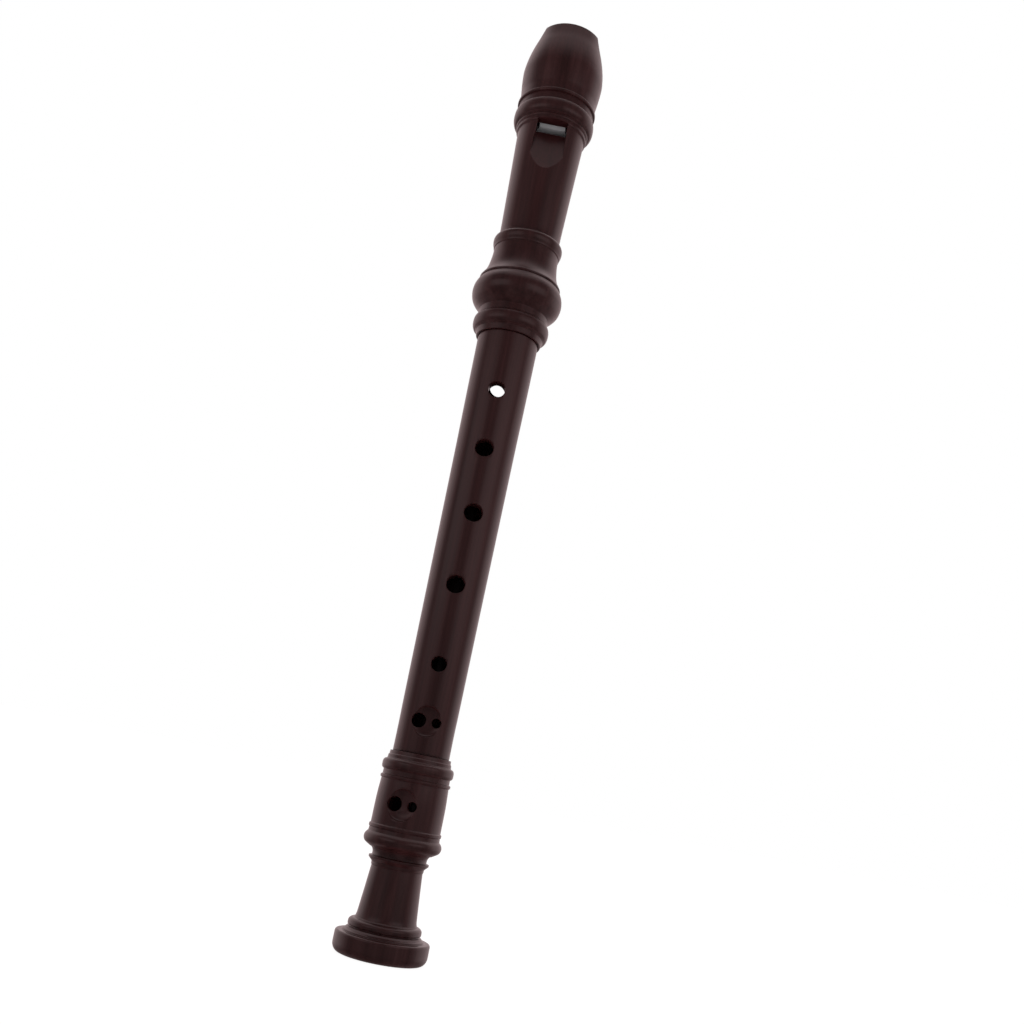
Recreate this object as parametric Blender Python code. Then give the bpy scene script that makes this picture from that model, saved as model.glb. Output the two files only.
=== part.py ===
"""Soprano recorder: head, middle and foot joints, standing on the foot with the bore along +Z.

The finger holes look along -Y and the thumb hole along +Y.
Profiles are lists of (height, radius) in millimetres, heights above the foot's flat end.
"""
import math

import bmesh
import bpy

MM = 0.001

# Whole instrument
TOTAL = 328.0
SEGMENTS = 40
GAP = 0.3

# Tenons: each one stops this far short of the bottom of its socket
FOOT_TOP = 61.2
FOOT_SOCKET_FLOOR = 48.4
MIDDLE_BOTTOM = FOOT_SOCKET_FLOOR + 0.4
LOWER_TENON_R = 7.05
LOWER_SOCKET_R = 7.35
MIDDLE_SHOULDER = 204.9
UPPER_TENON_TOP = 227.0
UPPER_TENON_R = 8.3
UPPER_SOCKET_R = 8.6
HEAD_SOCKET_ROOF = UPPER_TENON_TOP + 0.4

# Head
SEAM = 226.2
HEAD_BORE_R = 6.9
SPIGOT_R = 10.4
SPIGOT_TOP = 305.0
CAP_BOTTOM = 297.7
CAP_CAVITY_R = SPIGOT_R + GAP
CAP_CAVITY_TOP = SPIGOT_TOP + GAP

# Windway and window: the floor and the roof both lean outwards a little on the way up
WINDWAY_SLOPE = 0.020
WINDWAY_FLOOR = 7.4
WINDWAY_ROOF = 8.6
WINDWAY_HALF = 5.5
WINDOW_TOP = 287.2
LABIUM_EDGE = 283.9
LABIUM_DEPTH = 7.8
LABIUM_UNDERSIDE = 7.2
RAMP_END = 267.7
RAMP_END_R = 11.65

# Beak: the scoop behind it is part of a cylinder that lies along X
LIP_R = 11.9
LIP_EDGE = 0.5
SCOOP_Y = 20.1
SCOOP_Z = 331.0
SCOOP_R = 27.0
ARC_STEPS = 32
CHORD_STEPS = 8

# Tone holes: (height, diameter, turn about the bore in degrees, positive to +X)
FINGER_HOLES = [
    (183.4, 5.7, 0.0),
    (162.5, 6.1, 0.0),
    (140.1, 6.1, 5.2),
    (115.8, 6.0, 0.0),
    (89.7, 4.9, 0.0),
]
THUMB_HOLE = (189.8, 6.4, 180.0)
DISH_D = 9.7
DISH_FLOOR_MIDDLE = 7.85
DISH_FLOOR_FOOT = 9.75
BIG_D = 4.5
SMALL_D = 3.0
BIG_X = -2.6
SMALL_X = 3.0
MIDDLE_PAIR_Z = 71.7
FOOT_PAIR_Z = 45.4
FOOT_TWIST = -11.5

BROWN = (0.030, 0.010, 0.010)
IVORY = (0.42, 0.41, 0.42)


def clear_scene():
    for item in list(bpy.data.objects):
        bpy.data.objects.remove(item, do_unlink=True)


def material(name, colour, roughness):
    made = bpy.data.materials.new(name)
    made.use_nodes = True
    shader = made.node_tree.nodes["Principled BSDF"]
    shader.inputs["Base Color"].default_value = (*colour, 1.0)
    shader.inputs["Roughness"].default_value = roughness
    return made


def fillet(z0, r0, z1, r1, steps=4, hollow=False):
    """Points of a quarter ellipse between two profile points, leaving out the first."""
    points = []
    across_first = (r1 > r0) != hollow
    for step in range(1, steps + 1):
        angle = math.pi / 2 * step / steps
        slow, fast = 1 - math.cos(angle), math.sin(angle)
        if across_first:
            points.append((z0 + (z1 - z0) * slow, r0 + (r1 - r0) * fast))
        else:
            points.append((z0 + (z1 - z0) * fast, r0 + (r1 - r0) * slow))
    return points


def turned(name, outer, inner, mat):
    """A ring turned about Z: outer profile from the top down, then the inner one from the bottom up."""
    profile = list(reversed(outer)) + inner
    mesh = bpy.data.meshes.new(name)
    corners = [(radius * MM, 0.0, height * MM) for height, radius in profile]
    edges = [(i, (i + 1) % len(corners)) for i in range(len(corners))]
    mesh.from_pydata(corners, edges, [])
    made = bpy.data.objects.new(name, mesh)
    bpy.context.collection.objects.link(made)
    made.data.materials.append(mat)
    screw = made.modifiers.new("turn", "SCREW")
    screw.axis = "Z"
    screw.angle = math.tau
    screw.steps = SEGMENTS
    screw.render_steps = SEGMENTS
    screw.use_merge_vertices = True
    screw.merge_threshold = 0.00001
    screw.use_smooth_shade = True
    return made


def prism(name, sections):
    """A closed bar through rectangular or other equal-sided sections, each a list of corners in mm."""
    shape = bmesh.new()
    rings = [[shape.verts.new([value * MM for value in corner]) for corner in section] for section in sections]
    for low, high in zip(rings, rings[1:]):
        for i in range(len(low)):
            j = (i + 1) % len(low)
            shape.faces.new((low[i], low[j], high[j], high[i]))
    shape.faces.new(list(reversed(rings[0])))
    shape.faces.new(rings[-1])
    bmesh.ops.recalc_face_normals(shape, faces=shape.faces)
    mesh = bpy.data.meshes.new(name)
    shape.to_mesh(mesh)
    shape.free()
    made = bpy.data.objects.new(name, mesh)
    bpy.context.collection.objects.link(made)
    return made


def rectangle(half_x, y0, y1, z):
    return [(-half_x, y0, z), (half_x, y0, z), (half_x, y1, z), (-half_x, y1, z)]


def drill(name, height, diameter, turn, near, far, shift=0.0, sides=24):
    """A round cutter along the radius that points to the given turn, between two distances from the axis."""
    angle = math.radians(turn)
    out = (math.sin(angle), -math.cos(angle))
    side = (math.cos(angle), math.sin(angle))
    rings = []
    for distance in (near, far):
        ring = []
        for step in range(sides):
            around = math.tau * (step + 0.37) / sides
            across = shift + diameter / 2 * math.cos(around)
            up = diameter / 2 * math.sin(around)
            ring.append((out[0] * distance + side[0] * across, out[1] * distance + side[1] * across, height + up))
        rings.append(ring)
    return prism(name, rings)


def combine(body, tool, operation):
    """Applies a tool with an exact Boolean modifier and keeps the tool as a hidden wire object."""
    change = body.modifiers.new(tool.name, "BOOLEAN")
    change.operation = operation
    change.solver = "EXACT"
    change.object = tool
    tool.hide_render = True
    tool.hide_viewport = True
    tool.display_type = "WIRE"


def cut_pair(body, height, turn, floor):
    """The shallow round dish with its big and small hole side by side."""
    combine(body, drill(f"{body.name}_dish_cutter", height, DISH_D, turn, floor, 16.0), "DIFFERENCE")
    combine(body, drill(f"{body.name}_big_cutter", height, BIG_D, turn, 0.5, 16.0, BIG_X), "DIFFERENCE")
    combine(body, drill(f"{body.name}_small_cutter", height, SMALL_D, turn, 1.0, 16.0, SMALL_X, 20), "DIFFERENCE")


def foot(mat):
    outer = [(0.0, 5.9), (0.0, 12.5)] + fillet(0.0, 12.5, 2.7, 14.75)
    outer += [(5.3, 14.78)] + fillet(5.3, 14.78, 6.5, 13.7, 2)
    outer += [(6.6, 12.7), (7.1, 12.6), (7.4, 12.0), (8.3, 11.5), (8.5, 11.05), (8.8, 11.05), (9.1, 11.45)]
    outer += [(9.7, 11.45)] + fillet(9.7, 11.45, 11.0, 9.85, 3)
    outer += [(11.6, 9.4), (14.0, 9.12), (21.0, 8.51), (26.3, 8.08), (26.5, 8.25), (27.4, 8.3), (28.5, 9.45)]
    outer += [(29.1, 9.5), (29.35, 8.6), (29.9, 8.6)] + fillet(29.9, 8.6, 31.9, 10.0, 3, hollow=True)
    outer += [(32.1, 10.5)] + fillet(32.1, 10.5, 33.8, 12.3, 3) + [(34.8, 12.3)]
    outer += fillet(34.8, 12.3, 36.2, 11.3, 3)
    outer += [(37.4, 11.2), (37.6, 11.48), (38.4, 11.48), (38.7, 11.08), (47.0, 11.06), (52.5, 10.78)]
    outer += [(52.8, 11.2), (53.5, 11.2), (53.8, 10.7), (55.2, 10.68), (55.5, 11.0)]
    outer += fillet(55.5, 11.0, 56.6, 11.45, 2) + [(57.2, 11.45)] + fillet(57.2, 11.45, 58.6, 10.45, 3)
    outer += [(58.9, 10.22), (59.8, 10.15), (60.1, 9.88), (FOOT_TOP, 9.8)]
    inner = [(30.0, 4.75), (FOOT_SOCKET_FLOOR, 4.75), (FOOT_SOCKET_FLOOR, LOWER_SOCKET_R)]
    inner += [(FOOT_TOP, LOWER_SOCKET_R)]
    body = turned("foot", outer, inner, mat)
    cut_pair(body, FOOT_PAIR_Z, FOOT_TWIST, DISH_FLOOR_FOOT)
    return body


def middle_tube(mat):
    outer = [(MIDDLE_BOTTOM, 4.9), (MIDDLE_BOTTOM, LOWER_TENON_R), (FOOT_TOP + GAP, LOWER_TENON_R)]
    outer += [(FOOT_TOP + GAP, 9.1), (70.0, 9.11), (78.0, 9.22), (106.0, 9.48), (143.0, 9.86), (166.0, 10.1)]
    outer += [(182.0, 10.33), (MIDDLE_SHOULDER, 10.6), (MIDDLE_SHOULDER, UPPER_TENON_R)]
    outer += [(UPPER_TENON_TOP, UPPER_TENON_R)]
    inner = [(130.0, 5.4), (UPPER_TENON_TOP, 6.3)]
    body = turned("middle_tube", outer, inner, mat)
    for number, (height, diameter, turn) in enumerate(FINGER_HOLES, 1):
        tool = drill(f"finger_cutter_{number}", height, diameter, turn, 2.0, 16.0)
        combine(body, tool, "DIFFERENCE")
    height, diameter, turn = THUMB_HOLE
    combine(body, drill("thumb_cutter", height, diameter, turn, 2.0, 16.0), "DIFFERENCE")
    cut_pair(body, MIDDLE_PAIR_Z, 0.0, DISH_FLOOR_MIDDLE)
    return body


def socket_sleeve(mat):
    outer = [(MIDDLE_SHOULDER + GAP, 10.7), (MIDDLE_SHOULDER + GAP, 11.45), (206.9, 11.8), (207.3, 12.3)]
    outer += fillet(207.3, 12.3, 209.8, 13.38, 3) + [(210.6, 13.38)] + fillet(210.6, 13.38, 212.4, 12.3, 3)
    outer += [(214.8, 12.2), (215.6, 13.0), (216.5, 14.0), (217.7, 15.0), (219.0, 15.6), (220.5, 15.9)]
    outer += [(221.6, 15.93), (223.0, 15.75), (224.3, 15.3), (225.3, 14.75), (SEAM - GAP, 14.3)]
    inner = [(SEAM - GAP, 10.7)]
    return turned("socket_sleeve", outer, inner, mat)


def windway_y(height, start):
    """Distance in front of the axis of the windway's floor or roof at a height."""
    return start + WINDWAY_SLOPE * (height - WINDOW_TOP)


def head_tube(mat):
    outer = [(MIDDLE_SHOULDER + 2 * GAP, UPPER_SOCKET_R), (MIDDLE_SHOULDER + 2 * GAP, 10.4), (SEAM, 10.4)]
    outer += [(SEAM, 14.4), (226.8, 14.55), (227.6, 14.0), (228.5, 13.45), (229.8, 12.85), (231.4, 12.38)]
    outer += [(233.5, 12.0), (236.0, 11.7), (238.8, 11.58), (239.0, 11.95), (239.6, 12.0), (239.8, 12.3)]
    outer += [(240.6, 12.42), (241.8, 12.42)] + fillet(241.8, 12.42, 243.5, 10.95, 3)
    outer += [(247.0, 10.9), (263.0, 11.44), (286.5, 12.3), (286.8, 12.7), (287.4, 12.9), (288.1, 12.8)]
    outer += [(288.4, 13.1), (289.0, 13.3), (289.4, 13.1), (289.6, 13.45)] + fillet(289.6, 13.45, 292.3, 14.78, 3)
    outer += [(293.3, 14.78)] + fillet(293.3, 14.78, 295.4, 13.95, 3)
    outer += [(CAP_BOTTOM - GAP, 13.9), (CAP_BOTTOM - GAP, SPIGOT_R), (SPIGOT_TOP, SPIGOT_R)]
    inner = [(HEAD_SOCKET_ROOF, UPPER_SOCKET_R), (HEAD_SOCKET_ROOF, HEAD_BORE_R), (SPIGOT_TOP, HEAD_BORE_R)]
    body = turned("head_tube", outer, inner, mat)
    low, high = WINDOW_TOP - 1.0, SPIGOT_TOP + 1.0
    channel = [rectangle(WINDWAY_HALF, -windway_y(z, WINDWAY_ROOF), -3.0, z) for z in (low, high)]
    combine(body, prism("windway_cutter", channel), "DIFFERENCE")
    window = [rectangle(WINDWAY_HALF, -16.0, -3.0, z) for z in (LABIUM_EDGE, WINDOW_TOP)]
    combine(body, prism("window_cutter", window), "DIFFERENCE")
    hollow = [rectangle(WINDWAY_HALF, -LABIUM_UNDERSIDE, -3.0, z) for z in (LABIUM_EDGE - 9.0, LABIUM_EDGE + 1.0)]
    combine(body, prism("labium_underside_cutter", hollow), "DIFFERENCE")
    drop = (LABIUM_EDGE - RAMP_END) / (RAMP_END_R - LABIUM_DEPTH)
    side = [(-LABIUM_DEPTH, LABIUM_EDGE), (-LABIUM_DEPTH, LABIUM_EDGE + 1.0), (-16.0, LABIUM_EDGE + 1.0)]
    side += [(-16.0, LABIUM_EDGE - drop * (16.0 - LABIUM_DEPTH))]
    ramp = [[(x, y, z) for y, z in side] for x in (-WINDWAY_HALF, WINDWAY_HALF)]
    combine(body, prism("ramp_cutter", ramp), "DIFFERENCE")
    return body


def block(mat):
    """The windway floor: a plug in the bore with a flat key along its front and a chamfered lower end."""
    radius, half, chamfer = HEAD_BORE_R - GAP, WINDWAY_HALF - GAP, 1.1
    start = math.asin(half / radius)
    back = [start + (math.tau - 2 * start) * step / 30 for step in range(31)]
    sections = []
    for z, cut in ((WINDOW_TOP, chamfer), (WINDOW_TOP + chamfer, 0.0), (SPIGOT_TOP - 0.1, 0.0)):
        front = cut - windway_y(z, WINDWAY_FLOOR)
        section = [(-half, front, z), (half, front, z)]
        section += [(radius * math.sin(angle), -radius * math.cos(angle), z) for angle in back]
        sections.append(section)
    made = prism("block", sections)
    made.data.materials.append(mat)
    return made


def beak_section(z, radius):
    """A round section, cut off behind by the scoop. Its corners keep their places in the list."""
    rear = SCOOP_Y - math.sqrt(max(SCOOP_R**2 - (z - SCOOP_Z) ** 2, 0.0))
    side = min(math.acos(max(-rear / radius, -1.0)), math.radians(170.0))
    rear = -radius * math.cos(side)
    section = []
    for step in range(ARC_STEPS + 1):
        angle = side * (2 * step / ARC_STEPS - 1)
        section.append((radius * math.sin(angle), -radius * math.cos(angle), z))
    for step in range(1, CHORD_STEPS):
        section.append((radius * math.sin(side) * math.cos(math.pi * step / CHORD_STEPS), rear, z))
    return section


def beak_cap(mat):
    """The mouthpiece: a turned bulb, scooped out behind so that its top is the crescent of the lip."""
    outline = [(CAP_BOTTOM, 13.9), (297.9, 14.4), (298.5, 14.5), (299.0, 14.05), (302.0, 14.05), (304.2, 14.3)]
    outline += [(304.7, 14.36), (305.3, 14.43), (306.2, 14.52), (307.4, 14.63), (309.0, 14.75), (311.0, 14.85)]
    outline += [(313.0, 14.8), (315.0, 14.52), (317.0, 14.2), (319.0, 13.78), (321.5, 13.2), (324.0, 12.62)]
    outline += [(TOTAL - LIP_EDGE, LIP_R), (TOTAL, LIP_R - LIP_EDGE)]
    sections = [beak_section(z, radius) for z, radius in outline]
    body = prism("beak_cap", sections)
    body.data.materials.append(mat)
    cavity = []
    for z in (CAP_BOTTOM - 2.0, CAP_CAVITY_TOP):
        ring = [math.tau * step / SEGMENTS for step in range(SEGMENTS)]
        cavity.append([(CAP_CAVITY_R * math.sin(angle), -CAP_CAVITY_R * math.cos(angle), z) for angle in ring])
    combine(body, prism("cap_cavity_cutter", cavity), "DIFFERENCE")
    slot = []
    for z in (CAP_CAVITY_TOP - 1.0, TOTAL + 2.0):
        slot.append(rectangle(WINDWAY_HALF, -windway_y(z, WINDWAY_ROOF), -windway_y(z, WINDWAY_FLOOR), z))
    combine(body, prism("windway_slot_cutter", slot), "DIFFERENCE")
    return body


def settle(body):
    """Keeps the modifiers' result as the mesh, smooth on round faces and sharp at real edges."""
    evaluated = body.evaluated_get(bpy.context.evaluated_depsgraph_get())
    mesh = bpy.data.meshes.new_from_object(evaluated)
    body.modifiers.clear()
    body.data = mesh
    mesh.polygons.foreach_set("use_smooth", [True] * len(mesh.polygons))
    mesh.set_sharp_from_angle(angle=math.radians(32.0))


def main():
    clear_scene()
    builders = [foot, middle_tube, socket_sleeve, head_tube, beak_cap]
    parts = [build(material(f"{build.__name__}_brown", BROWN, 0.32)) for build in builders]
    parts.append(block(material("block_ivory", IVORY, 0.45)))
    for body in parts:
        settle(body)
    for item in list(bpy.data.objects):
        if item not in parts:
            bpy.data.objects.remove(item, do_unlink=True)


main()
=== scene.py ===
import math
from collections import Counter

import bpy
from mathutils import Matrix, Vector


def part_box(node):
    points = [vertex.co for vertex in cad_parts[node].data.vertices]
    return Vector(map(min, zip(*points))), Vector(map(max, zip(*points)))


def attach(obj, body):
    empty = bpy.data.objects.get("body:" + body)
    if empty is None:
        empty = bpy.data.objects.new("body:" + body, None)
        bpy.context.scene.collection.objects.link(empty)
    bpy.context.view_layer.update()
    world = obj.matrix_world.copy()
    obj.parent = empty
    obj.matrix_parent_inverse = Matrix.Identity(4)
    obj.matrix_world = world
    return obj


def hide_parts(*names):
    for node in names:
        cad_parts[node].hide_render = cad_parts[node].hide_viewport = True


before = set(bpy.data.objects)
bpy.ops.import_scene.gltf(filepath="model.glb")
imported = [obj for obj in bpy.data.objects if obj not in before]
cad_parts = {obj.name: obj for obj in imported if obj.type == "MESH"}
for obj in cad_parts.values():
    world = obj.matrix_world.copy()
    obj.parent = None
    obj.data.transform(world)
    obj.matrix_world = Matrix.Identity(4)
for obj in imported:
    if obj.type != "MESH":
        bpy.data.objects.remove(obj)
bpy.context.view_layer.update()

# Lengths here are in millimetres: heights above the foot's flat end, and distances from the bore's axis.
MM = 0.001
GAP = 0.3
HAIRLINE = 0.1

# Fineness: corners round a turned piece, sides of a cutter for holes and dishes and of one for a pair's
# holes, steps along the beak's rounds and flats and the block's back and front, sides of the cap's cavity
AROUND = 168
HOLE_SIDES = 64
PAIR_SIDES = 48
ARC_STEPS = 144
CHORD_STEPS = 32
BLOCK_BACK_STEPS = 72
BLOCK_FRONT_STEPS = 20
CAVITY_SIDES = 96

# Corners of a profile that turn by more than EASED_ABOVE are rounded, and edges that turn by more than
# SHARP_ABOVE are shaded sharp. A face points a given way when the cosine between them is over SAME_WAY.
EASED_ABOVE = math.radians(14.0)
SHARP_ABOVE = math.radians(34.0)
SAME_WAY = 0.99995


def low(node):
    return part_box(node)[0].z / MM


def high(node):
    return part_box(node)[1].z / MM


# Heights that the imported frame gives
FOOT_TOP = high("foot")
SHOULDER = FOOT_TOP + HAIRLINE
MIDDLE_BOTTOM = low("middle_tube")
TENON_TOP = high("middle_tube")
SLEEVE_BOTTOM = low("socket_sleeve")
SEAM = high("socket_sleeve") + GAP
HEAD_BOTTOM = low("head_tube")
SPIGOT_TOP = high("head_tube")
WINDOW_TOP = low("block")
CAP_BOTTOM = low("beak_cap")
TOTAL = high("beak_cap")

# Bores and tenons
FOOT_SOCKET_FLOOR = MIDDLE_BOTTOM - 0.4
LOWER_TENON_R = 7.05
LOWER_SOCKET_R = 7.35
FOOT_BORE_R = 4.75
UPPER_TENON_R = 8.3
UPPER_SOCKET_R = 8.6
GROOVES_BELOW_TOP = (12.0, 9.0, 6.0)
GROOVE_DEPTH = 0.3
SLEEVE_BORE_R = 10.7
HEAD_SOCKET_ROOF = TENON_TOP + 0.4
HEAD_BORE_R = 6.9
SPIGOT_R = 10.4
CAP_CAVITY_R = SPIGOT_R + GAP
CAP_CAVITY_TOP = SPIGOT_TOP + GAP

# Windway and window
WINDWAY_SLOPE = 0.020
WINDWAY_FLOOR = 7.4
WINDWAY_ROOF = 8.6
WINDWAY_HALF = 5.5
LABIUM_EDGE = WINDOW_TOP - 3.3
LABIUM_DEPTH = 7.8
LABIUM_UNDERSIDE = 7.2
LABIUM_HOLLOW = 9.0
RAMP_END = WINDOW_TOP - 19.5
RAMP_END_R = 11.65
RAMP_FLARE = 0.055
BLOCK_CHAMFER = 1.3

# Cutters at the window: they start CUT_NEAR in front of the axis, and CUT_FAR is outside the head
CUT_NEAR = 3.0
CUT_FAR = 16.0

# Beak: the scoop behind it is part of a cylinder that lies along X. Below the scoop a section is round
# but for a narrow flat behind, which starts BEAK_ROUND away from the front.
LIP_R = 11.9
SCOOP_Y = 20.1
SCOOP_Z = TOTAL + 3.0
SCOOP_R = 27.0
BEAK_ROUND = math.radians(170.0)
BEAK_BEVEL = 0.3
BEVEL_ABOVE = math.radians(50.0)

# Tone holes: (height, diameter, turn about the bore in degrees, positive to +X)
FINGER_HOLES = [
    (183.4, 5.7, 0.0),
    (162.5, 6.1, 0.0),
    (140.1, 6.1, 5.2),
    (115.8, 6.0, 0.0),
    (89.7, 4.9, 0.0),
]
THUMB_HOLE = (189.8, 6.4, 180.0)
RIM = 0.22
DISH_D = 9.7
DISH_DEPTH = 1.35
DISH_WIDE = 2.4
DISH_HIGH = 1.1
PAIR_EDGE = 0.12
BIG_D = 4.5
SMALL_D = 3.0
BIG_X = -2.6
SMALL_X = 3.0
MIDDLE_PAIR_Z = 71.5
FOOT_PAIR_Z = 45.4
FOOT_TWIST = -11.5

# Hole cutters: a tone hole's starts HOLE_START from the axis, and all end HOLE_BEYOND past the surface or
# the dish's floor. Where they open out they stand PROUD of it, so that no two surfaces coincide, and their
# corners are turned by CORNER_SHARE of a side, off the tube's own edges.
HOLE_START = 2.0
HOLE_BEYOND = 4.0
PROUD = 0.01
CORNER_SHARE = 0.37


# ---------------------------------------------------------------- profiles

def swell(z0, r0, z1, r1, hollow=False, steps=9):
    """Points of a quarter ellipse between two profile points, leaving out the first."""
    points = []
    across_first = (r1 > r0) != hollow
    for step in range(1, steps + 1):
        angle = math.pi / 2 * step / steps
        slow, fast = 1 - math.cos(angle), math.sin(angle)
        if across_first:
            points.append((z0 + (z1 - z0) * slow, r0 + (r1 - r0) * fast))
        else:
            points.append((z0 + (z1 - z0) * fast, r0 + (r1 - r0) * slow))
    return points


def smooth_line(points, steps=8):
    """A Catmull-Rom curve through profile points, first and last included."""
    ends = [points[0], *points, points[-1]]
    line = [points[0]]
    for a, b, c, d in zip(ends, ends[1:], ends[2:], ends[3:]):
        for step in range(1, steps + 1):
            t = step / steps
            line.append(tuple(
                (2 * q + (r - p) * t + (2 * p - 5 * q + 4 * r - s) * t**2
                 + (3 * q - p - 3 * r + s) * t**3) / 2
                for p, q, r, s in zip(a, b, c, d)
            ))
    return line


def ease_corners(loop, radius=0.14, steps=4):
    """Rounds every real corner of a closed profile with a small arc, so that edges catch the light."""
    eased = []
    for before, corner, after in zip(loop[-1:] + loop[:-1], loop, loop[1:] + loop[:1]):
        middle = Vector(corner)
        to_before, to_after = Vector(before) - middle, Vector(after) - middle
        turn = math.pi - to_before.angle(to_after)
        if turn < EASED_ABOVE:
            eased.append(corner)
            continue
        reach = min(radius * math.tan(turn / 2), 0.45 * to_before.length, 0.45 * to_after.length)
        start, end = middle + to_before.normalized() * reach, middle + to_after.normalized() * reach
        for step in range(steps + 1):
            t = step / steps
            eased.append(tuple(start * (1 - t) ** 2 + 2 * middle * t * (1 - t) + end * t**2))
    return eased


def split_long(loop, longest=2.5, support=0.25):
    """Adds points to a closed profile's long stretches, also close to their ends, for flat shading."""
    points = []
    for start, end in zip(loop, loop[1:] + loop[:1]):
        points.append(start)
        a, b = Vector(start), Vector(end)
        length = (b - a).length
        if length > 4 * support:
            count = max(1, math.ceil((length - 2 * support) / longest))
            run = (length - 2 * support) / count
            points += [tuple(a.lerp(b, (support + run * step) / length)) for step in range(count + 1)]
    return points


def skin_of(profile):
    """A function that gives a profile's radius at a height."""
    def radius_at(height):
        for (z0, r0), (z1, r1) in zip(profile, profile[1:]):
            if z0 <= height <= z1 and z1 > z0:
                return r0 + (r1 - r0) * (height - z0) / (z1 - z0)
        return profile[-1][1]
    return radius_at


# ---------------------------------------------------------------- meshes

def new_object(name, points, faces):
    mesh = bpy.data.meshes.new(name)
    mesh.from_pydata([(x * MM, y * MM, z * MM) for x, y, z in points], [], faces)
    mesh.update()
    made = bpy.data.objects.new(name, mesh)
    bpy.context.scene.collection.objects.link(made)
    return made


def turned(name, outer, inner):
    """A closed ring turned about Z. The outer profile runs from the bottom up, the inner one downwards."""
    loop = split_long(ease_corners(outer + inner))
    count = len(loop)
    points = []
    for step in range(AROUND):
        angle = math.tau * step / AROUND
        points += [(radius * math.cos(angle), radius * math.sin(angle), height) for height, radius in loop]
    faces = []
    for step in range(AROUND):
        here, there = step * count, (step + 1) % AROUND * count
        for i in range(count):
            j = (i + 1) % count
            faces.append((here + i, there + i, there + j, here + j))
    return new_object(name, points, faces)


def lofted(name, sections):
    """A closed solid through equal-sided sections, from the bottom up and each anticlockwise from above."""
    count = len(sections[0])
    points = [corner for section in sections for corner in section]
    faces = [tuple(reversed(range(count))), tuple(range(len(points) - count, len(points)))]
    for level in range(len(sections) - 1):
        here, above = level * count, (level + 1) * count
        for i in range(count):
            j = (i + 1) % count
            faces.append((here + i, here + j, above + j, above + i))
    return new_object(name, points, faces)


def rectangle(half_x, y0, y1, z):
    return [(-half_x, y0, z), (half_x, y0, z), (half_x, y1, z), (-half_x, y1, z)]


def cut(body, *tools):
    """Takes closed tools away from a body, one after another, and deletes them."""
    for tool in tools:
        change = body.modifiers.new(tool.name, "BOOLEAN")
        change.operation = "DIFFERENCE"
        change.solver = "EXACT"
        change.object = tool
    mesh = bpy.data.meshes.new_from_object(body.evaluated_get(bpy.context.evaluated_depsgraph_get()))
    body.modifiers.clear()
    body.data = mesh
    for tool in tools:
        bpy.data.objects.remove(tool, do_unlink=True)


def radial_tool(name, height, turn, rings, sides=HOLE_SIDES):
    """A round cutter along the radius at a turn. Each ring is (radius, sideways shift, distance)."""
    angle = math.radians(turn)
    out = (math.sin(angle), -math.cos(angle))
    side = (math.cos(angle), math.sin(angle))
    sections = []
    for radius, shift, distance in rings:
        section = []
        for step in range(sides):
            around = math.tau * (step + CORNER_SHARE) / sides
            across, z = shift + radius * math.cos(around), height + radius * math.sin(around)
            far = distance(across, z)
            section.append((out[0] * far + side[0] * across, out[1] * far + side[1] * across, z))
        sections.append(section)
    return lofted(name, sections)


def level_at(distance):
    return lambda across, z: distance


def above_skin(skin, lift, least=0.0):
    """The distance of a tube's surface plus a lift, for a ring that follows the tube's curve."""
    return lambda across, z: max(math.sqrt(skin(z) ** 2 - across**2) + lift, least)


def rounded_rim(skin, radius, shift, least=0.0):
    """Rings that open a hole out smoothly onto the tube, and one beyond it."""
    rings = []
    for step in range(6):
        angle = math.pi / 2 * step / 5
        lift = RIM * (math.sin(angle) - 1) + PROUD
        rings.append((radius + RIM * (1 - math.cos(angle)), shift, above_skin(skin, lift, least)))
    rings.append((radius + RIM, shift, above_skin(skin, HOLE_BEYOND)))
    return rings


def tone_hole(skin, height, diameter, turn):
    rings = [(diameter / 2, 0.0, level_at(HOLE_START))] + rounded_rim(skin, diameter / 2, 0.0)
    return radial_tool("tone_hole_tool", height, turn, rings)


def hole_pair(skin, height, turn):
    """A shallow round dish that rises gently to its rim, and the big and the small hole in it."""
    floor = skin(height) - DISH_DEPTH
    rings = []
    for step in range(6):
        angle = math.pi / 2 * step / 5
        radius = DISH_D / 2 - DISH_WIDE * (1 - math.sin(angle))
        rings.append((radius, 0.0, level_at(floor + DISH_HIGH * (1 - math.cos(angle)))))
    rings += rounded_rim(skin, DISH_D / 2, 0.0, floor + DISH_HIGH + PROUD)
    tools = [radial_tool("dish_tool", height, turn, rings)]
    for diameter, shift, near in ((BIG_D, BIG_X, 0.5), (SMALL_D, SMALL_X, 1.0)):
        rings = [(diameter / 2, shift, level_at(near))]
        for step in range(4):
            angle = math.pi / 2 * step / 3
            radius = diameter / 2 + PAIR_EDGE * (1 - math.cos(angle))
            rings.append((radius, shift, level_at(floor + PAIR_EDGE * (math.sin(angle) - 1) + PROUD / 2)))
        rings.append((diameter / 2 + PAIR_EDGE, shift, level_at(floor + HOLE_BEYOND)))
        tools.append(radial_tool("pair_tool", height, turn, rings, PAIR_SIDES))
    return tools


def shade(body):
    """Smooth shading, but for edges that turn by more than SHARP_ABOVE."""
    mesh = body.data
    mesh.polygons.foreach_set("use_smooth", [True] * len(mesh.polygons))
    mesh.set_sharp_from_angle(angle=SHARP_ABOVE)


def crisp_outline(body, normal):
    """Keeps the outline of the flat faces that point one way sharp where they meet a curved surface."""
    flat = [polygon for polygon in body.data.polygons if polygon.normal.dot(normal) > SAME_WAY]
    sides = Counter(key for polygon in flat for key in polygon.edge_keys)
    for edge in body.data.edges:
        if sides[edge.key] == 1:
            edge.use_edge_sharp = True


# ---------------------------------------------------------------- pieces

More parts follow.
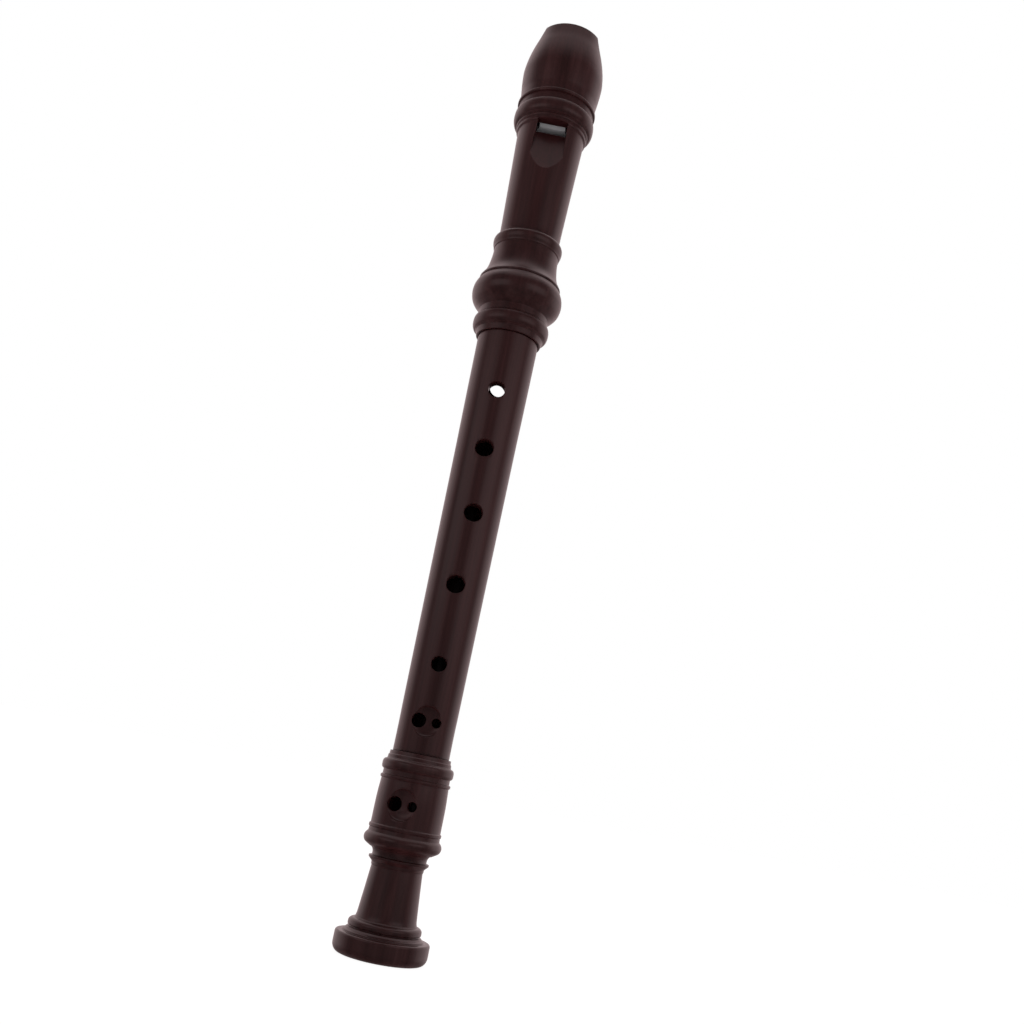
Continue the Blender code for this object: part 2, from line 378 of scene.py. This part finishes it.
def foot():
    outer = [(0.0, 5.9), (0.0, 12.5)] + swell(0.0, 12.5, 2.7, 14.75) + [(5.6, 14.75)]
    outer += swell(5.6, 14.75, 6.4, 14.1) + [(6.5, 12.75), (6.9, 12.6), (7.2, 12.0), (7.7, 11.5)]
    outer += [(7.9, 11.05), (8.15, 11.05), (8.35, 11.4), (8.5, 11.45), (9.2, 11.45)]
    outer += swell(9.2, 11.45, 10.5, 9.95)
    outer += smooth_line([(10.9, 9.6), (11.8, 9.35), (14.0, 9.12), (21.0, 8.51), (26.3, 8.08)])
    outer += [(26.5, 8.25), (27.4, 8.3), (28.5, 9.45), (29.1, 9.5), (29.35, 8.6), (29.9, 8.6)]
    outer += swell(29.9, 8.6, 31.7, 9.9, hollow=True)
    bulge = [(31.8, 10.0), (32.3, 10.9), (33.0, 11.85), (34.2, 12.3), (35.3, 12.05), (36.2, 11.3)]
    outer += smooth_line(bulge)
    outer += [(37.4, 11.2), (37.6, 11.48), (38.4, 11.48), (38.7, 11.08)]
    outer += smooth_line([(39.5, 11.08), (47.0, 11.06), (52.5, 10.78)])
    outer += [(52.8, 11.2), (53.5, 11.2), (53.8, 10.7), (55.2, 10.68), (55.5, 11.0)]
    outer += swell(55.5, 11.0, 56.6, 11.45) + [(57.2, 11.45)] + swell(57.2, 11.45, 58.6, 10.45)
    outer += [(58.9, 10.22), (59.8, 10.15), (60.1, 9.88), (FOOT_TOP, 9.8)]
    inner = [(FOOT_TOP, LOWER_SOCKET_R), (FOOT_SOCKET_FLOOR, LOWER_SOCKET_R)]
    inner += [(FOOT_SOCKET_FLOOR, FOOT_BORE_R), (30.0, FOOT_BORE_R)]
    body = turned("foot_joint_body", outer, inner)
    cut(body, *hole_pair(skin_of(outer), FOOT_PAIR_Z, FOOT_TWIST))
    return body


def middle():
    tube = [(SHOULDER, 9.1), (70.0, 9.11), (78.0, 9.22), (106.0, 9.48), (143.0, 9.86), (166.0, 10.1)]
    tube = smooth_line(tube + [(182.0, 10.33), (SLEEVE_BOTTOM - GAP, 10.6)])
    outer = [(MIDDLE_BOTTOM, 4.9), (MIDDLE_BOTTOM, LOWER_TENON_R), (SHOULDER, LOWER_TENON_R)] + tube
    outer += [(SLEEVE_BOTTOM - GAP, UPPER_TENON_R)]
    for below_top in GROOVES_BELOW_TOP:
        groove = TENON_TOP - below_top
        outer += [(groove, UPPER_TENON_R), (groove + 0.2, UPPER_TENON_R - GROOVE_DEPTH)]
        outer += [(groove + 1.0, UPPER_TENON_R - GROOVE_DEPTH), (groove + 1.2, UPPER_TENON_R)]
    outer += [(TENON_TOP - 0.6, UPPER_TENON_R), (TENON_TOP, UPPER_TENON_R - 0.5)]
    inner = [(TENON_TOP, 6.3), (130.0, 5.4)]
    body = turned("middle_joint_tube", outer, inner)
    skin = skin_of(tube)
    cut(body, *[tone_hole(skin, *hole) for hole in [*FINGER_HOLES, THUMB_HOLE]])
    cut(body, *hole_pair(skin, MIDDLE_PAIR_Z, 0.0))
    return body


def sleeve():
    z = SLEEVE_BOTTOM
    base = z - GAP + HAIRLINE
    outer = [(base, SLEEVE_BORE_R), (base, 11.35), (z + 1.7, 11.8), (z + 2.1, 12.3)]
    outer += swell(z + 2.1, 12.3, z + 4.4, 13.38) + [(z + 4.9, 13.38)] + swell(z + 4.9, 13.38, z + 7.0, 12.3)
    bulb = [(z + 9.6, 12.2), (z + 10.4, 13.0), (z + 11.3, 14.0), (z + 12.5, 15.0), (z + 13.8, 15.6)]
    bulb += [(z + 15.3, 15.9), (z + 16.4, 15.93), (z + 17.8, 15.75), (z + 19.1, 15.3), (z + 20.1, 14.75)]
    outer += smooth_line([*bulb, (SEAM - HAIRLINE, 14.3)], 5)
    return turned("head_socket_sleeve", outer, [(SEAM - HAIRLINE, SLEEVE_BORE_R)])


def windway_y(height, start):
    """Distance in front of the axis of the windway's floor or roof at a height."""
    return start + WINDWAY_SLOPE * (height - WINDOW_TOP)


def ramp_slope():
    """How far outwards the ramp runs for each millimetre of height, from the labium's edge down."""
    return (RAMP_END_R - LABIUM_DEPTH) / (LABIUM_EDGE - RAMP_END)


def ramp_tool():
    """The wedge cut below the window. It widens a little on its way down to where it leaves the tube."""
    slope = ramp_slope()
    top = LABIUM_EDGE + 0.5
    bottom = LABIUM_EDGE - (CUT_FAR - LABIUM_DEPTH) / slope
    half_bottom, half_top = (WINDWAY_HALF + RAMP_FLARE * (LABIUM_EDGE - z) for z in (bottom, top))
    depth_top = LABIUM_DEPTH - slope * (top - LABIUM_EDGE)
    lower = rectangle(half_bottom, -CUT_FAR - 1.0, -CUT_FAR, bottom)
    upper = rectangle(half_top, -CUT_FAR - 1.0, -depth_top, top)
    return lofted("ramp_tool", [lower, upper])


def head():
    s, w = SEAM, WINDOW_TOP
    outer = [(HEAD_BOTTOM, UPPER_SOCKET_R), (HEAD_BOTTOM, 10.4), (s, 10.4), (s, 14.4)]
    cove = [(s + 0.6, 14.5), (s + 1.4, 14.0), (s + 2.3, 13.45), (s + 3.6, 12.85), (s + 5.2, 12.38)]
    outer += smooth_line([*cove, (s + 7.3, 12.0), (s + 9.8, 11.7), (s + 12.6, 11.58)])
    outer += [(s + 12.8, 11.85), (s + 13.3, 11.92)]
    outer += smooth_line([(s + 13.5, 12.0), (s + 14.4, 12.3), (s + 15.3, 12.42)])
    outer += [(s + 15.7, 12.42)] + swell(s + 15.7, 12.42, s + 17.3, 10.95)
    outer += smooth_line([(s + 17.8, 10.92), (s + 20.8, 10.9), (s + 36.8, 11.44), (w - 0.7, 12.3)])
    outer += [(w - 0.4, 12.7)] + swell(w - 0.4, 12.7, w + 0.2, 12.9, steps=4) + [(w + 0.9, 12.8)]
    outer += [(w + 1.2, 13.1)] + swell(w + 1.2, 13.1, w + 1.8, 13.3, steps=4) + [(w + 2.2, 13.1)]
    outer += [(w + 2.4, 13.45)] + swell(w + 2.4, 13.45, w + 5.0, 14.78) + [(w + 5.5, 14.78)]
    outer += swell(w + 5.5, 14.78, w + 7.9, 13.95)
    outer += [(CAP_BOTTOM - HAIRLINE, 13.9), (CAP_BOTTOM - HAIRLINE, SPIGOT_R), (SPIGOT_TOP, SPIGOT_R)]
    inner = [(SPIGOT_TOP, HEAD_BORE_R), (HEAD_SOCKET_ROOF, HEAD_BORE_R), (HEAD_SOCKET_ROOF, UPPER_SOCKET_R)]
    body = turned("head_joint_tube", outer, inner)
    channel_ends = (w - 1.0, SPIGOT_TOP + 1.0)
    channel = [rectangle(WINDWAY_HALF, -windway_y(z, WINDWAY_ROOF), -CUT_NEAR, z) for z in channel_ends]
    window = [rectangle(WINDWAY_HALF, -CUT_FAR, -CUT_NEAR, z) for z in (LABIUM_EDGE, w)]
    hollow_ends = (LABIUM_EDGE - LABIUM_HOLLOW, LABIUM_EDGE + 1.0)
    hollow = [rectangle(WINDWAY_HALF, -LABIUM_UNDERSIDE, -CUT_NEAR, z) for z in hollow_ends]
    cut(body, lofted("channel_tool", channel), lofted("window_tool", window))
    cut(body, lofted("hollow_tool", hollow), ramp_tool())
    return body


def block():
    """The windway floor: a plug in the bore with a flat front, which ends in a chamfer at the window."""
    radius, half = HEAD_BORE_R - GAP, WINDWAY_HALF - GAP
    start = math.asin(half / radius)
    turned_by = math.tau - 2 * start
    back = [start + turned_by * step / BLOCK_BACK_STEPS for step in range(BLOCK_BACK_STEPS + 1)]
    levels = [(WINDOW_TOP, BLOCK_CHAMFER + 0.1), (WINDOW_TOP + 0.1, BLOCK_CHAMFER - 0.05)]
    levels += [(WINDOW_TOP + BLOCK_CHAMFER - 0.1, 0.1), (WINDOW_TOP + BLOCK_CHAMFER + 0.1, 0.0)]
    levels += [(SPIGOT_TOP - 0.1, 0.0)]
    sections = []
    for z, trim in levels:
        front = trim - windway_y(z, WINDWAY_FLOOR)
        across = [half * (2 * step / BLOCK_FRONT_STEPS - 1) for step in range(1, BLOCK_FRONT_STEPS)]
        section = [(x, front, z) for x in across]
        section += [(radius * math.sin(angle), -radius * math.cos(angle), z) for angle in back]
        sections.append(section)
    return lofted("windway_block", sections)


def beak_section(z, radius):
    """A round section, cut off behind by the scoop. Its corners keep their places in the list."""
    rear = SCOOP_Y - math.sqrt(max(SCOOP_R**2 - (z - SCOOP_Z) ** 2, 0.0))
    side = min(math.acos(max(-rear / radius, -1.0)), BEAK_ROUND)
    rear = -radius * math.cos(side)
    section = []
    for step in range(ARC_STEPS + 1):
        angle = side * (2 * step / ARC_STEPS - 1)
        section.append((radius * math.sin(angle), -radius * math.cos(angle), z))
    for step in range(1, CHORD_STEPS):
        section.append((radius * math.sin(side) * math.cos(math.pi * step / CHORD_STEPS), rear, z))
    return section


def bevel_edges(body, width, sharper_than):
    change = body.modifiers.new("bevel", "BEVEL")
    change.width = width * MM
    change.segments = 3
    change.limit_method = "ANGLE"
    change.angle_limit = sharper_than
    body.data = bpy.data.meshes.new_from_object(body.evaluated_get(bpy.context.evaluated_depsgraph_get()))
    body.modifiers.clear()


def cap():
    """The mouthpiece: a turned bulb, scooped out behind so that its top is the crescent of the lip."""
    c = CAP_BOTTOM
    outline = [(c, 14.1), (c + 0.15, 14.38)] + swell(c + 0.15, 14.38, c + 0.5, 14.5, steps=4)
    outline += [(c + 0.9, 14.5)] + swell(c + 0.9, 14.5, c + 1.3, 14.08, steps=4)
    bulb = [(c + 1.6, 14.03), (c + 4.3, 14.05), (c + 6.5, 14.3), (c + 9.7, 14.63), (c + 13.3, 14.85)]
    bulb += [(c + 16.3, 14.64), (c + 19.3, 14.17), (c + 22.8, 13.42), (c + 26.3, 12.58), (TOTAL, LIP_R - 0.1)]
    outline += smooth_line(bulb, 12)
    sections = [beak_section(z, radius) for z, radius in outline]
    body = lofted("beak_mouthpiece", sections)
    bevel_edges(body, BEAK_BEVEL, BEVEL_ABOVE)
    angles = [math.tau * step / CAVITY_SIDES for step in range(CAVITY_SIDES)]
    cavity = []
    for z in (c - 2.0, CAP_CAVITY_TOP):
        cavity.append([(CAP_CAVITY_R * math.sin(a), -CAP_CAVITY_R * math.cos(a), z) for a in angles])
    slot = []
    for z in (CAP_CAVITY_TOP - 1.0, TOTAL + 2.0):
        slot.append(rectangle(WINDWAY_HALF, -windway_y(z, WINDWAY_ROOF), -windway_y(z, WINDWAY_FLOOR), z))
    cut(body, lofted("cavity_tool", cavity), lofted("slot_tool", slot))
    return body


# ---------------------------------------------------------------- materials

PLASTIC_IOR = 1.5
NOISE_ROUGHNESS = 0.6

# Brown: colours along the streaks' noise, from its dark parts to its light ones, and the roughness from one
# end of STREAK_RANGE to the other
BROWN_STOPS = [
    (0.34, (0.018, 0.0045, 0.0046)),
    (0.5, (0.029, 0.0077, 0.0079)),
    (0.66, (0.043, 0.0130, 0.0132)),
]
BROWN_ROUGHNESS = (0.28, 0.36)
BROWN_BUMP = {"Strength": 0.12, "Distance": 0.00004}
STREAK_RANGE = (0.3, 0.7)
BROAD_STREAKS = {"scale": 190.0, "stretch": 26.0, "detail": 3.0}
FINE_STREAKS = {"scale": 900.0, "stretch": 60.0, "detail": 3.0}
FINE_SHARE = 0.4
STREAK_SHIFT = 0.37

# Pale grey: a cloud of two close greys and a fine grain
PALE_STOPS = [(0.3, (0.34, 0.333, 0.345)), (0.7, (0.42, 0.413, 0.425))]
PALE_ROUGHNESS = 0.42
PALE_BUMP = {"Strength": 0.15, "Distance": 0.00005}
PALE_CLOUD = {"scale": 260.0, "stretch": 1.0, "detail": 4.0}
PALE_GRAIN = {"scale": 2600.0, "stretch": 1.0, "detail": 2.0}


def add_node(tree, kind, **values):
    """Adds a shader node. A value goes to the input of its name, or else to the setting of its name."""
    node = tree.nodes.new(kind)
    for key, value in values.items():
        if key in node.inputs:
            node.inputs[key].default_value = value
        else:
            setattr(node, key, value)
    return node


def colour_ramp(tree, stops):
    ramp = tree.nodes.new("ShaderNodeValToRGB")
    elements = ramp.color_ramp.elements
    for element, (position, colour) in zip(elements, (stops[0], stops[-1])):
        element.position = position
        element.color = (*colour, 1)
    for position, colour in stops[1:-1]:
        elements.new(position).color = (*colour, 1)
    return ramp


def stretched_noise(tree, scale, stretch, detail, offset=(0.0, 0.0, 0.0)):
    """Noise drawn out along the bore: streaks that run the length of a joint."""
    place = add_node(tree, "ShaderNodeTexCoord")
    mapping = add_node(tree, "ShaderNodeMapping", Scale=(1.0, 1.0, 1.0 / stretch), Location=offset)
    noise = add_node(tree, "ShaderNodeTexNoise", Scale=scale, Detail=detail, Roughness=NOISE_ROUGHNESS)
    tree.links.new(place.outputs["Object"], mapping.inputs["Vector"])
    tree.links.new(mapping.outputs["Vector"], noise.inputs["Vector"])
    return noise.outputs["Fac"]


def brown_plastic(name, offset):
    """Dark brown moulded plastic with faint lengthwise wood-like streaks and a satin surface."""
    made = bpy.data.materials.new(name)
    made.use_nodes = True
    tree = made.node_tree
    shader = tree.nodes["Principled BSDF"]
    shader.inputs["IOR"].default_value = PLASTIC_IOR
    broad = stretched_noise(tree, **BROAD_STREAKS, offset=offset)
    fine = stretched_noise(tree, **FINE_STREAKS, offset=offset)
    both = add_node(tree, "ShaderNodeMix", data_type="FLOAT")
    both.inputs["Factor"].default_value = FINE_SHARE
    tree.links.new(broad, both.inputs["A"])
    tree.links.new(fine, both.inputs["B"])
    ramp = colour_ramp(tree, BROWN_STOPS)
    tree.links.new(both.outputs["Result"], ramp.inputs["Fac"])
    tree.links.new(ramp.outputs["Color"], shader.inputs["Base Color"])
    gloss = add_node(tree, "ShaderNodeMapRange")
    gloss.inputs["From Min"].default_value, gloss.inputs["From Max"].default_value = STREAK_RANGE
    gloss.inputs["To Min"].default_value, gloss.inputs["To Max"].default_value = BROWN_ROUGHNESS
    tree.links.new(both.outputs["Result"], gloss.inputs["Value"])
    tree.links.new(gloss.outputs["Result"], shader.inputs["Roughness"])
    bump = add_node(tree, "ShaderNodeBump", **BROWN_BUMP)
    tree.links.new(fine, bump.inputs["Height"])
    tree.links.new(bump.outputs["Normal"], shader.inputs["Normal"])
    return made


def pale_plastic(name):
    """Pale grey moulded plastic, a little uneven in tone, with a fine matt texture."""
    made = bpy.data.materials.new(name)
    made.use_nodes = True
    tree = made.node_tree
    shader = tree.nodes["Principled BSDF"]
    cloud = stretched_noise(tree, **PALE_CLOUD)
    ramp = colour_ramp(tree, PALE_STOPS)
    tree.links.new(cloud, ramp.inputs["Fac"])
    tree.links.new(ramp.outputs["Color"], shader.inputs["Base Color"])
    shader.inputs["Roughness"].default_value = PALE_ROUGHNESS
    grain = stretched_noise(tree, **PALE_GRAIN)
    bump = add_node(tree, "ShaderNodeBump", **PALE_BUMP)
    tree.links.new(grain, bump.inputs["Height"])
    tree.links.new(bump.outputs["Normal"], shader.inputs["Normal"])
    return made


# ---------------------------------------------------------------- studio

# Brightness of the surroundings as the object sees them. A direction is a unit vector. The light around
# goes from its front to its back level as Y runs through BEHIND, and falls to UNDER_SHARE of itself as Z
# runs down through BELOW. The light from above comes in as Z runs up through OVERHEAD.
FRONT_LEVEL = 0.11
BACK_LEVEL = 1.0
BEHIND = (-0.15, 0.40)
TOP_LEVEL = 0.80
OVERHEAD = (0.72, 0.97)
UNDER_SHARE = 0.25
BELOW = (-0.5, 0.0)
LIGHT_TINT = (1.0, 0.80, 0.81)

# Softboxes: name, azimuth and elevation in degrees, width and height in metres, radiance
SOFTBOXES = [
    ("left_softbox", -47.0, 14.0, 0.90, 0.44, 0.56),
    ("right_softbox", 46.0, 15.0, 0.90, 0.50, 0.58),
]
SOFTBOX_DISTANCE = 1.0

# The floor's own glow and what its grey sends back make it white, and they light the object from below.
FLOOR_GREY = 0.16
FLOOR_GLOW = 0.95
FLOOR_HALF = 6000.0
FLOOR_THICKNESS = 20.0

# The camera stands this far from the bore's axis, looks up by TILT and is turned and rolled a little.
FOCAL = 38.67
SENSOR = 36.0
CLIP = (0.01, 50.0)
TILT = math.radians(14.3)
DISTANCE = 0.3702
AIM_HEIGHT = 0.1454
AZIMUTH = math.radians(2.4)
YAW = math.radians(2.03)
ROLL = math.radians(11.894)


def make_camera():
    level = Vector((-math.sin(AZIMUTH), math.cos(AZIMUTH), 0.0))
    ahead = level * math.cos(TILT) + Vector((0.0, 0.0, math.sin(TILT)))
    up = Vector((0.0, 0.0, math.cos(TILT))) - level * math.sin(TILT)
    across = ahead.cross(up)
    turned_ahead = ahead * math.cos(YAW) + across * math.sin(YAW)
    turned_across = across * math.cos(YAW) - ahead * math.sin(YAW)
    right = up * math.sin(ROLL) + turned_across * math.cos(ROLL)
    upward = up * math.cos(ROLL) - turned_across * math.sin(ROLL)
    data = bpy.data.cameras.new("camera")
    data.lens, data.sensor_width = FOCAL, SENSOR
    data.clip_start, data.clip_end = CLIP
    camera = bpy.data.objects.new("camera", data)
    bpy.context.scene.collection.objects.link(camera)
    turn = Matrix((right, upward, -turned_ahead)).transposed()
    place = Vector((0.0, 0.0, AIM_HEIGHT)) - ahead * DISTANCE
    camera.matrix_world = Matrix.Translation(place) @ turn.to_4x4()
    bpy.context.scene.camera = camera


def make_floor():
    slab = [rectangle(FLOOR_HALF, -FLOOR_HALF, FLOOR_HALF, z) for z in (-FLOOR_THICKNESS, 0.0)]
    floor = lofted("floor", slab)
    made = bpy.data.materials.new("floor_white")
    made.use_nodes = True
    shader = made.node_tree.nodes["Principled BSDF"]
    shader.inputs["Base Color"].default_value = (FLOOR_GREY, FLOOR_GREY, FLOOR_GREY, 1)
    shader.inputs["Roughness"].default_value = 1.0
    shader.inputs["Specular IOR Level"].default_value = 0.0
    shader.inputs["Emission Color"].default_value = (1, 1, 1, 1)
    shader.inputs["Emission Strength"].default_value = FLOOR_GLOW
    floor.data.materials.append(made)
    floor.visible_glossy = False


def map_range(tree, source, from_min, from_max, to_min, to_max):
    node = add_node(tree, "ShaderNodeMapRange", interpolation_type="SMOOTHSTEP")
    values = {"From Min": from_min, "From Max": from_max, "To Min": to_min, "To Max": to_max}
    for name, value in values.items():
        node.inputs[name].default_value = value
    tree.links.new(source, node.inputs["Value"])
    return node.outputs["Result"]


def make_world():
    """White all round as the camera sees it. What lights the object is white behind it and above it."""
    world = bpy.data.worlds.new("studio")
    bpy.context.scene.world = world
    world.use_nodes = True
    tree = world.node_tree
    background = tree.nodes["Background"]
    place = add_node(tree, "ShaderNodeTexCoord")
    axes = add_node(tree, "ShaderNodeSeparateXYZ")
    tree.links.new(place.outputs["Generated"], axes.inputs["Vector"])
    behind = map_range(tree, axes.outputs["Y"], *BEHIND, FRONT_LEVEL, BACK_LEVEL)
    overhead = map_range(tree, axes.outputs["Z"], *OVERHEAD, 0.0, TOP_LEVEL)
    lower = map_range(tree, axes.outputs["Z"], *BELOW, UNDER_SHARE, 1.0)
    around = add_node(tree, "ShaderNodeMath", operation="MULTIPLY")
    total = add_node(tree, "ShaderNodeMath", operation="ADD")
    sight = add_node(tree, "ShaderNodeLightPath")
    brightness = add_node(tree, "ShaderNodeMath", operation="MAXIMUM")
    tree.links.new(behind, around.inputs[0])
    tree.links.new(lower, around.inputs[1])
    tree.links.new(around.outputs["Value"], total.inputs[0])
    tree.links.new(overhead, total.inputs[1])
    tree.links.new(total.outputs["Value"], brightness.inputs[0])
    tree.links.new(sight.outputs["Is Camera Ray"], brightness.inputs[1])
    tree.links.new(brightness.outputs["Value"], background.inputs["Strength"])
    tint = add_node(tree, "ShaderNodeMixRGB", Color1=(*LIGHT_TINT, 1), Color2=(1, 1, 1, 1))
    tree.links.new(sight.outputs["Is Camera Ray"], tint.inputs["Fac"])
    tree.links.new(tint.outputs["Color"], background.inputs["Color"])


def softbox(name, azimuth, elevation, width, height, radiance):
    """A rectangular soft light that faces the middle of the recorder."""
    data = bpy.data.lights.new(name, "AREA")
    data.shape = "RECTANGLE"
    data.size, data.size_y = width, height
    data.energy = radiance * math.pi * width * height
    data.color = LIGHT_TINT
    lamp = bpy.data.objects.new(name, data)
    bpy.context.scene.collection.objects.link(lamp)
    a, e = math.radians(azimuth), math.radians(elevation)
    back = Vector((math.sin(a) * math.cos(e), -math.cos(a) * math.cos(e), math.sin(e)))
    lamp.location = Vector((0.0, 0.0, AIM_HEIGHT)) + back * SOFTBOX_DISTANCE
    lamp.rotation_mode = "QUATERNION"
    lamp.rotation_quaternion = back.to_track_quat("Z", "Y")
    lamp.visible_camera = False


def main():
    bpy.context.scene.view_settings.view_transform = "Standard"
    make_camera()
    make_world()
    make_floor()
    for settings in SOFTBOXES:
        softbox(*settings)
    plan = [
        (foot, "foot", "foot_joint"),
        (middle, "middle_tube", "middle_joint"),
        (sleeve, "socket_sleeve", "head_joint"),
        (head, "head_tube", "head_joint"),
        (cap, "beak_cap", "head_joint"),
        (block, "block", "head_joint"),
    ]
    for number, (build, node, joint_body) in enumerate(plan):
        piece = build()
        shade(piece)
        if build is head:
            crisp_outline(piece, Vector((0.0, -1.0, ramp_slope())).normalized())
        if build is block:
            skin = pale_plastic("ivory")
        else:
            skin = brown_plastic(f"brown_{node}", (0.0, 0.0, STREAK_SHIFT * number))
        piece.data.materials.clear()
        piece.data.materials.append(skin)
        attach(piece, joint_body)
        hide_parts(node)


main()
